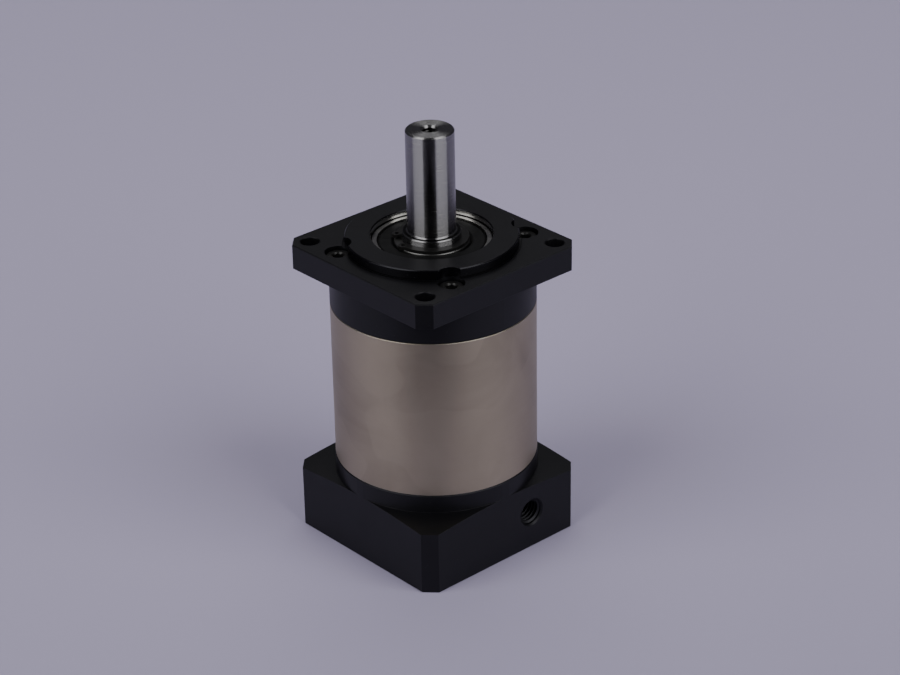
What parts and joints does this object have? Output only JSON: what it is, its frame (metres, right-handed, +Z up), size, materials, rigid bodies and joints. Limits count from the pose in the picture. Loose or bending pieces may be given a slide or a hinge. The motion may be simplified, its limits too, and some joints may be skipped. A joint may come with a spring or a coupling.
{
  "type": "planetary gear reducer",
  "caption": "In-line planetary gear reducer with a square motor adapter, round ring-gear body, square output flange with pilot boss and a plain round output shaft.",
  "frame": {"origin": "centre of the motor mounting face, on the shaft axis", "axes": "+Z up the output shaft away from the motor, +X out of the face with the clamp access hole"},
  "size_m": [0.06, 0.06, 0.128],
  "materials": {
    "black_anodised": "black anodised, satin",
    "nickel_plate": "satin nickel plated steel, fine turned",
    "ground_steel": "ground and polished",
    "bearing_steel": "polished bearing steel",
    "gear_steel": "machined, oiled",
    "black_steel": "black oxide, slightly oily",
    "seal_rubber": "matte",
    "bronze": "sintered bronze, oiled",
    "cage_plastic": "glass-filled nylon"
  },
  "bodies": {
    "housing": {"motor_adapter": "black_anodised", "ring_gear_housing": "nickel_plate", "output_housing": "black_anodised", "flange_screws": "black_steel", "adapter_screws": "black_steel", "front_bearing_outer_race": "bearing_steel", "rear_bearing_outer_race": "bearing_steel", "input_bearing_outer_race": "bearing_steel", "front_bearing_seal": "seal_rubber", "input_bearing_seal": "seal_rubber", "adapter_joint_seal": "seal_rubber", "flange_joint_seal": "seal_rubber", "input_bearing_circlip": "black_steel"},
    "output": {"output_shaft": "ground_steel", "front_bearing_inner_race": "bearing_steel", "rear_bearing_inner_race": "bearing_steel", "bearing_spacer": "gear_steel", "shaft_circlip": "black_steel", "stage2_planet_pins": "bearing_steel", "stage2_thrust_washers": "bronze"},
    "intermediate": {"stage1_carrier": "gear_steel", "stage2_sun_gear": "gear_steel", "stage1_planet_pins": "bearing_steel", "stage1_thrust_washers": "bronze"},
    "input": {"input_sun_shaft": "gear_steel", "clamp_ring": "black_steel", "clamp_screw": "black_steel", "input_bearing_inner_race": "bearing_steel", "input_shaft_circlip": "black_steel"},
    "front_ball_set": {"front_bearing_balls": "bearing_steel", "front_bearing_cage": "cage_plastic"},
    "rear_ball_set": {"rear_bearing_balls": "bearing_steel", "rear_bearing_cage": "cage_plastic"},
    "input_ball_set": {"input_bearing_balls": "bearing_steel", "input_bearing_cage": "cage_plastic"},
    "stage1_planet_1_set": {"stage1_planet_1": "gear_steel", "stage1_bush_1": "bronze"},
    "stage1_planet_2_set": {"stage1_planet_2": "gear_steel", "stage1_bush_2": "bronze"},
    "stage1_planet_3_set": {"stage1_planet_3": "gear_steel", "stage1_bush_3": "bronze"},
    "stage2_planet_1_set": {"stage2_planet_1": "gear_steel", "stage2_bush_1": "bronze"},
    "stage2_planet_2_set": {"stage2_planet_2": "gear_steel", "stage2_bush_2": "bronze"},
    "stage2_planet_3_set": {"stage2_planet_3": "gear_steel", "stage2_bush_3": "bronze"}
  },
  "joints": [
    {"name": "output_spin", "type": "hinge", "parent": "housing", "child": "output", "pos_m": [0, 0, 0.097], "axis": [0, 0, 1], "continuous": true},
    {"name": "intermediate_spin", "type": "hinge", "parent": "housing", "child": "intermediate", "pos_m": [0, 0, 0.0453], "axis": [0, 0, 1], "continuous": true},
    {"name": "input_spin", "type": "hinge", "parent": "housing", "child": "input", "pos_m": [0, 0, 0.023], "axis": [0, 0, 1], "continuous": true},
    {"name": "front_balls_spin", "type": "hinge", "parent": "housing", "child": "front_ball_set", "pos_m": [0, 0, 0.0891], "axis": [0, 0, 1], "continuous": true},
    {"name": "rear_balls_spin", "type": "hinge", "parent": "housing", "child": "rear_ball_set", "pos_m": [0, 0, 0.075], "axis": [0, 0, 1], "continuous": true},
    {"name": "input_balls_spin", "type": "hinge", "parent": "housing", "child": "input_ball_set", "pos_m": [0, 0, 0.023], "axis": [0, 0, 1], "continuous": true},
    {"name": "stage1_planet_1_spin", "type": "hinge", "parent": "intermediate", "child": "stage1_planet_1_set", "pos_m": [0.0144, 0, 0.0372], "axis": [0, 0, 1], "continuous": true},
    {"name": "stage1_planet_2_spin", "type": "hinge", "parent": "intermediate", "child": "stage1_planet_2_set", "pos_m": [-0.0072, 0.01247, 0.0372], "axis": [0, 0, 1], "continuous": true},
    {"name": "stage1_planet_3_spin", "type": "hinge", "parent": "intermediate", "child": "stage1_planet_3_set", "pos_m": [-0.0072, -0.01247, 0.0372], "axis": [0, 0, 1], "continuous": true},
    {"name": "stage2_planet_1_spin", "type": "hinge", "parent": "output", "child": "stage2_planet_1_set", "pos_m": [0.0144, 0, 0.058], "axis": [0, 0, 1], "continuous": true},
    {"name": "stage2_planet_2_spin", "type": "hinge", "parent": "output", "child": "stage2_planet_2_set", "pos_m": [-0.0072, 0.01247, 0.058], "axis": [0, 0, 1], "continuous": true},
    {"name": "stage2_planet_3_spin", "type": "hinge", "parent": "output", "child": "stage2_planet_3_set", "pos_m": [-0.0072, -0.01247, 0.058], "axis": [0, 0, 1], "continuous": true}
  ],
  "couplings": [
    {"joint": "intermediate_spin", "follows": "output_spin", "ratio": 4},
    {"joint": "input_spin", "follows": "output_spin", "ratio": 16},
    {"joint": "front_balls_spin", "follows": "output_spin", "ratio": 0.4083},
    {"joint": "rear_balls_spin", "follows": "output_spin", "ratio": 0.4083},
    {"joint": "input_balls_spin", "follows": "output_spin", "ratio": 6.8272},
    {"joint": "stage1_planet_1_spin", "follows": "output_spin", "ratio": -12},
    {"joint": "stage1_planet_2_spin", "follows": "output_spin", "ratio": -12},
    {"joint": "stage1_planet_3_spin", "follows": "output_spin", "ratio": -12},
    {"joint": "stage2_planet_1_spin", "follows": "output_spin", "ratio": -3},
    {"joint": "stage2_planet_2_spin", "follows": "output_spin", "ratio": -3},
    {"joint": "stage2_planet_3_spin", "follows": "output_spin", "ratio": -3}
  ]
}
